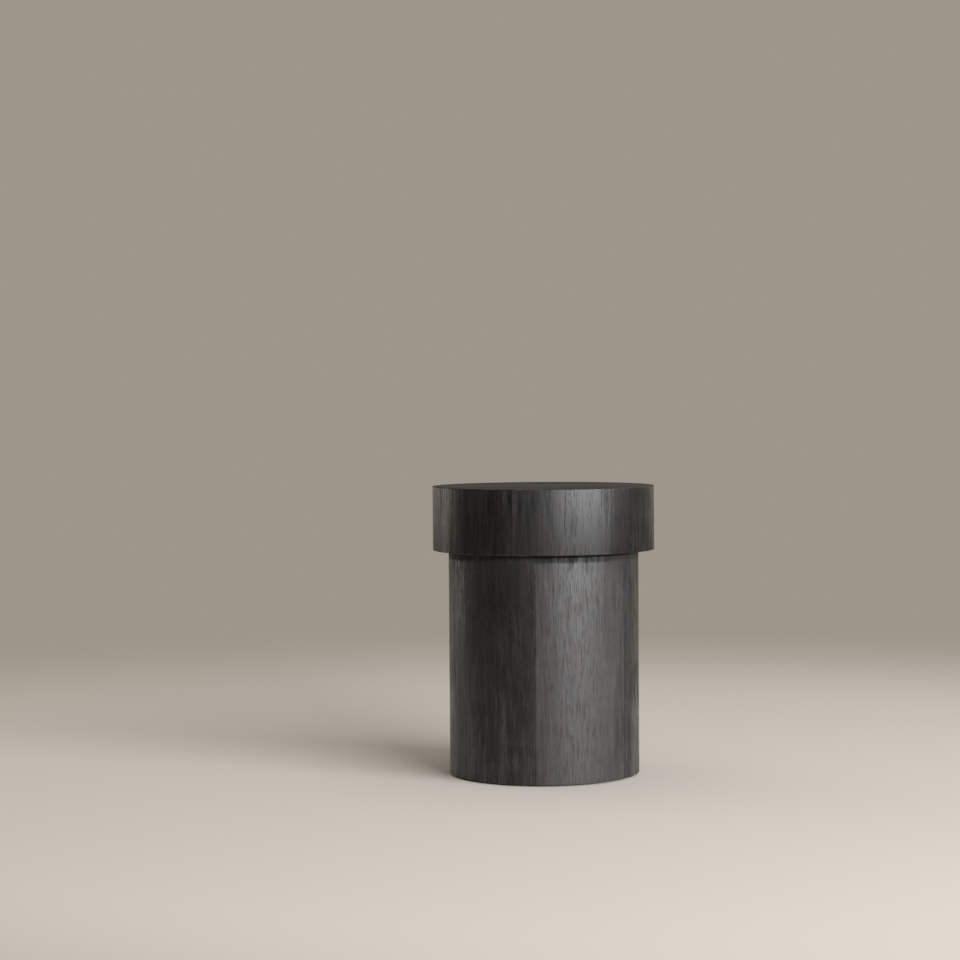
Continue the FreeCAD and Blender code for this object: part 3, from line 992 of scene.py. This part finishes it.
def zinc_steel():
    """Zinc-plated steel: bright, faintly blotched, duller and scuffed on its corners."""
    material, tree, shader = new_finish("zinc_steel", Metallic=1.0)
    place = solid_place(tree)
    marks = {
        "blotch": noise_node(tree, place, scale=140.0, detail=3.0),
        "worn": wear(tree, place, edge=edge_value(tree), patch_size=0.002, scuffs=0.4),
    }
    colour = mixed_colour(tree, marks["blotch"], ZINC_BLUISH, ZINC_PALE)
    colour = laid_over(tree, colour, ZINC_DULL, marks["worn"], share=0.6)
    roughness = weighed(tree, marks, start=0.24, blotch=0.2, worn=0.2)
    spangle = noise_node(tree, place, scale=700.0)
    set_surface(tree, shader, colour, roughness, spangle, relief=0.00001)
    return material


def black_nylon():
    """Moulded nylon with a fine spark texture, rubbed smoother where it meets the floor."""
    material, tree, shader = new_finish("black_nylon", IOR=1.53, Specular_IOR_Level=0.5)
    place = solid_place(tree)
    marks = {
        "texture": noise_node(tree, place, scale=1800.0),
        "worn": wear(tree, place, edge=edge_value(tree), patch_size=0.003, scuffs=0.5),
    }
    cloud = noise_node(tree, place, scale=120.0)
    colour = mixed_colour(tree, cloud, NYLON_BLACK, NYLON_GREYER)
    colour = laid_over(tree, colour, NYLON_RUBBED, marks["worn"], share=0.5)
    roughness = weighed(tree, marks, start=0.48, texture=0.2, worn=-0.1)
    set_surface(tree, shader, colour, roughness, marks["texture"], relief=0.00003)
    return material


# The table

SOLIDS_BY_SLOT = {
    "stained_plywood": ["rim_hoop", "column_hoop", "soffit_panel"],
    "birch_plywood": ["top_panel", "top_former", "base_former"]
    + [f"{side}_cap_rib" for side in ("front", "back", "left", "right")],
    "pine": ["rim_seam_block", "right_batten", "seam_batten", "left_batten", "front_batten"],
    "hardboard": ["base_hatch"],
    "zinc_steel": ["cap_washers", "foot_inserts", "cap_screws"]
    + [f"{corner}_foot_screw" for corner in CORNERS],
    "black_nylon": [f"{corner}_foot_pad" for corner in CORNERS],
    "stained_veneer": ["top_veneer", "rim_veneer", "column_veneer"],
}


def dress_solids(finishes):
    """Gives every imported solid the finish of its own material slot."""
    for slot, nodes in SOLIDS_BY_SLOT.items():
        for node in nodes:
            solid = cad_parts[node]
            solid.data.materials.clear()
            solid.data.materials.append(finishes[slot])


def leaf_round(high, leaves):
    """The width of one leaf of a drum's veneer, from the far corner of its box."""
    return TURN * min(high.x, high.y) / leaves


def veneer_finishes():
    """The three skins' own looks: the column's, the rim's and the top's."""
    column_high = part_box("column_veneer")[1]
    rim_low, rim_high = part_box("rim_veneer")
    column_finish = stained_veneer(
        "column_veneer_finish",
        leaf_width=leaf_round(column_high, COLUMN_LEAVES),
        tone_step=GOLDEN_SHARE,
        stretch=1.5,
        roughest=0.61,
        swing=1.0,
        shine=0.6,
        lightest=0.058,
        relief=0.0002,
        # the cap's underside, with painted shade on the column below it
        corner=column_high.z,
    )
    rim_finish = stained_veneer(
        "rim_veneer_finish",
        leaf_width=leaf_round(rim_high, RIM_LEAVES),
        tone_step=RIM_TONE_STEP,
        stretch=2.0,
        roughest=0.55,
        swing=0.8,
        shine=0.27,
        lightest=0.033,
        relief=0.00016,
        polish=(rim_low.z, rim_high.z),
    )
    top_finish = stained_veneer(
        "top_veneer_finish",
        leaf_width=TOP_LEAF_WIDTH,
        tone_step=GOLDEN_SHARE,
        stretch=1.5,
        roughest=0.955,
        swing=0.25,
        shine=0.5,
        lightest=0.068,
        relief=0.0002,
    )
    return column_finish, rim_finish, top_finish


def build_table():
    column_finish, rim_finish, top_finish = veneer_finishes()
    finishes = {
        "stained_veneer": top_finish,
        "stained_plywood": stained_plywood(),
        "birch_plywood": birch_plywood(),
        "pine": planed_pine(),
        "hardboard": brown_hardboard(),
        "zinc_steel": zinc_steel(),
        "black_nylon": black_nylon(),
    }
    dress_solids(finishes)
    drum_skin("column_skin", "column_veneer", COLUMN_FIRST_JOINT, column_finish)
    drum_skin("rim_skin", "rim_veneer", RIM_FIRST_JOINT, rim_finish)
    top_skin("top_skin", "top_veneer", top_finish)
    for corner in CORNERS:
        foot_screw(corner, finishes["zinc_steel"])
        foot_glide(corner, finishes["black_nylon"])
    cap_bolts(finishes["zinc_steel"])
    hatch_screws(finishes["zinc_steel"])


# Studio

FLOOR_COLOUR = (0.71, 0.68, 0.64)
FLOOR_HALF_WIDTH = 30
FLOOR_FADE_START = 1.2
FLOOR_FADE_END = 2.8

# The room's own light: its colour all round, then for its dim corner and for the glow by the
# lamp a compass angle from the front, how squarely a ray starts and ends facing it, its colour
ROOM_PALE = (0.345, 0.305, 0.257)
CORNER_GLOOM = (-48, 0.15, 0.85, (0.06, 0.058, 0.056))
LAMP_GLOW = (43, 0.45, 1.0, (0.5, 0.49, 0.48))

WHITE_LIGHT = (1, 1, 1)
WARM_LIGHT = (1, 0.9, 0.79)

# The camera, fitted to the photograph: angles in radians, the lens in pixels
CAMERA_PLACE = (0, -4.206, 0.664)
CAMERA_PITCH = 0.0317
CAMERA_YAW = -0.0271
CAMERA_ROLL = -0.0065
FOCAL_PIXELS = 2326
PHOTO_PIXELS = 960
SENSOR_MILLIMETRES = 36


def room_colour(tree, way):
    """The room's colour by direction: pale all round, brightest by the lamp, one dim corner."""
    way = split_vector(tree, vectors(tree, "NORMALIZE", way))
    colour = ROOM_PALE
    for azimuth, start, full, shade in (CORNER_GLOOM, LAMP_GLOW):
        angle = math.radians(azimuth)
        facing = weighed(tree, way, X=math.sin(angle), Y=-math.cos(angle))
        colour = mixed_colour(tree, between(tree, facing, start, full), colour, shade)
    return colour


def floor_finish():
    """A matt pale floor that the camera sees fade into the backdrop's colour some way off."""
    material, tree, shader = new_finish("studio_floor", Roughness=0.9, Specular_IOR_Level=0.0)
    shader.inputs["Base Color"].default_value = (*FLOOR_COLOUR, 1)
    spot = tree.nodes.new("ShaderNodeNewGeometry").outputs["Position"]
    faded = between(tree, vectors(tree, "LENGTH", spot), FLOOR_FADE_START, FLOOR_FADE_END)
    ray = tree.nodes.new("ShaderNodeLightPath").outputs
    seen = maths(tree, "MAXIMUM", ray["Is Camera Ray"], ray["Is Glossy Ray"])
    seen = maths(tree, "MAXIMUM", seen, ray["Is Transmission Ray"])
    backdrop = tree.nodes.new("ShaderNodeEmission")
    feed(tree, backdrop.inputs["Color"], room_colour(tree, spot))
    mix = tree.nodes.new("ShaderNodeMixShader")
    feed_all(tree, mix.inputs, (times(tree, faded, seen), shader.outputs[0], backdrop.outputs[0]))
    tree.links.new(mix.outputs[0], tree.nodes["Material Output"].inputs["Surface"])
    return material


def pale_floor():
    """A plain floor, lost in the backdrop's colour some way off on every side."""
    maker = bmesh.new()
    bmesh.ops.create_grid(maker, x_segments=1, y_segments=1, size=FLOOR_HALF_WIDTH)
    mesh = bpy.data.meshes.new("studio_floor")
    maker.to_mesh(mesh)
    maker.free()
    mesh.materials.append(floor_finish())
    floor = bpy.data.objects.new("studio_floor", mesh)
    bpy.context.scene.collection.objects.link(floor)


def soft_room():
    """The room's light from every side, as the world's colour."""
    world = bpy.data.worlds.new("studio_room")
    world.use_nodes = True
    tree = world.node_tree
    way = tree.nodes.new("ShaderNodeTexCoord").outputs["Generated"]
    feed(tree, tree.nodes["Background"].inputs["Color"], room_colour(tree, way))
    bpy.context.scene.world = world


def soft_lamp(name, azimuth, distance, height, size, power, aim_height, colour=WHITE_LIGHT):
    """A soft box at a compass angle from the front, positive to the right, aimed at the table."""
    light = bpy.data.lights.new(name, "AREA")
    light.shape = "RECTANGLE"
    light.size, light.size_y = size
    light.energy = power
    light.color = colour
    lamp = bpy.data.objects.new(name, light)
    angle = math.radians(azimuth)
    place = Vector((math.sin(angle) * distance, -math.cos(angle) * distance, height))
    lamp.location = place
    lamp.rotation_euler = (Vector((0, 0, aim_height)) - place).to_track_quat("-Z", "Y").to_euler()
    lamp.visible_camera = False
    bpy.context.scene.collection.objects.link(lamp)


def photo_camera():
    """The camera at the photograph's own viewpoint, turned by its yaw, pitch and roll."""
    ahead = Vector((math.sin(CAMERA_YAW), math.cos(CAMERA_YAW), 0))
    forward = ahead * math.cos(CAMERA_PITCH) - Vector((0, 0, math.sin(CAMERA_PITCH)))
    level_right = Vector((ahead.y, -ahead.x, 0))
    level_up = level_right.cross(forward)
    right = level_right * math.cos(CAMERA_ROLL) + level_up * math.sin(CAMERA_ROLL)
    upward = level_up * math.cos(CAMERA_ROLL) - level_right * math.sin(CAMERA_ROLL)
    camera = bpy.data.objects.new("photo_camera", bpy.data.cameras.new("photo_camera"))
    camera.data.sensor_width = SENSOR_MILLIMETRES
    camera.data.lens = SENSOR_MILLIMETRES * FOCAL_PIXELS / PHOTO_PIXELS
    turned = Matrix((right, upward, -forward)).transposed()
    camera.matrix_world = Matrix.Translation(Vector(CAMERA_PLACE)) @ turned.to_4x4()
    bpy.context.scene.collection.objects.link(camera)
    bpy.context.scene.camera = camera


def build_studio():
    """A wide low strip of light from the front right, and two weak lamps that fill the rest."""
    pale_floor()
    soft_room()
    soft_lamp(
        "right_strip",
        azimuth=42,
        distance=7.0,
        height=1.8,
        size=(6.8, 0.7),
        power=960,
        aim_height=0.3,
    )
    soft_lamp(
        "left_fill",
        azimuth=-118,
        distance=3.0,
        height=1.0,
        size=(1.4, 2.0),
        power=8,
        aim_height=0.3,
        colour=WARM_LIGHT,
    )
    soft_lamp(
        "top_fill",
        azimuth=0,
        distance=0.01,
        height=3.0,
        size=(2.6, 2.6),
        power=12,
        aim_height=0.0,
    )
    bpy.context.scene.view_settings.view_transform = "Standard"


photo_camera()
build_table()
build_studio()
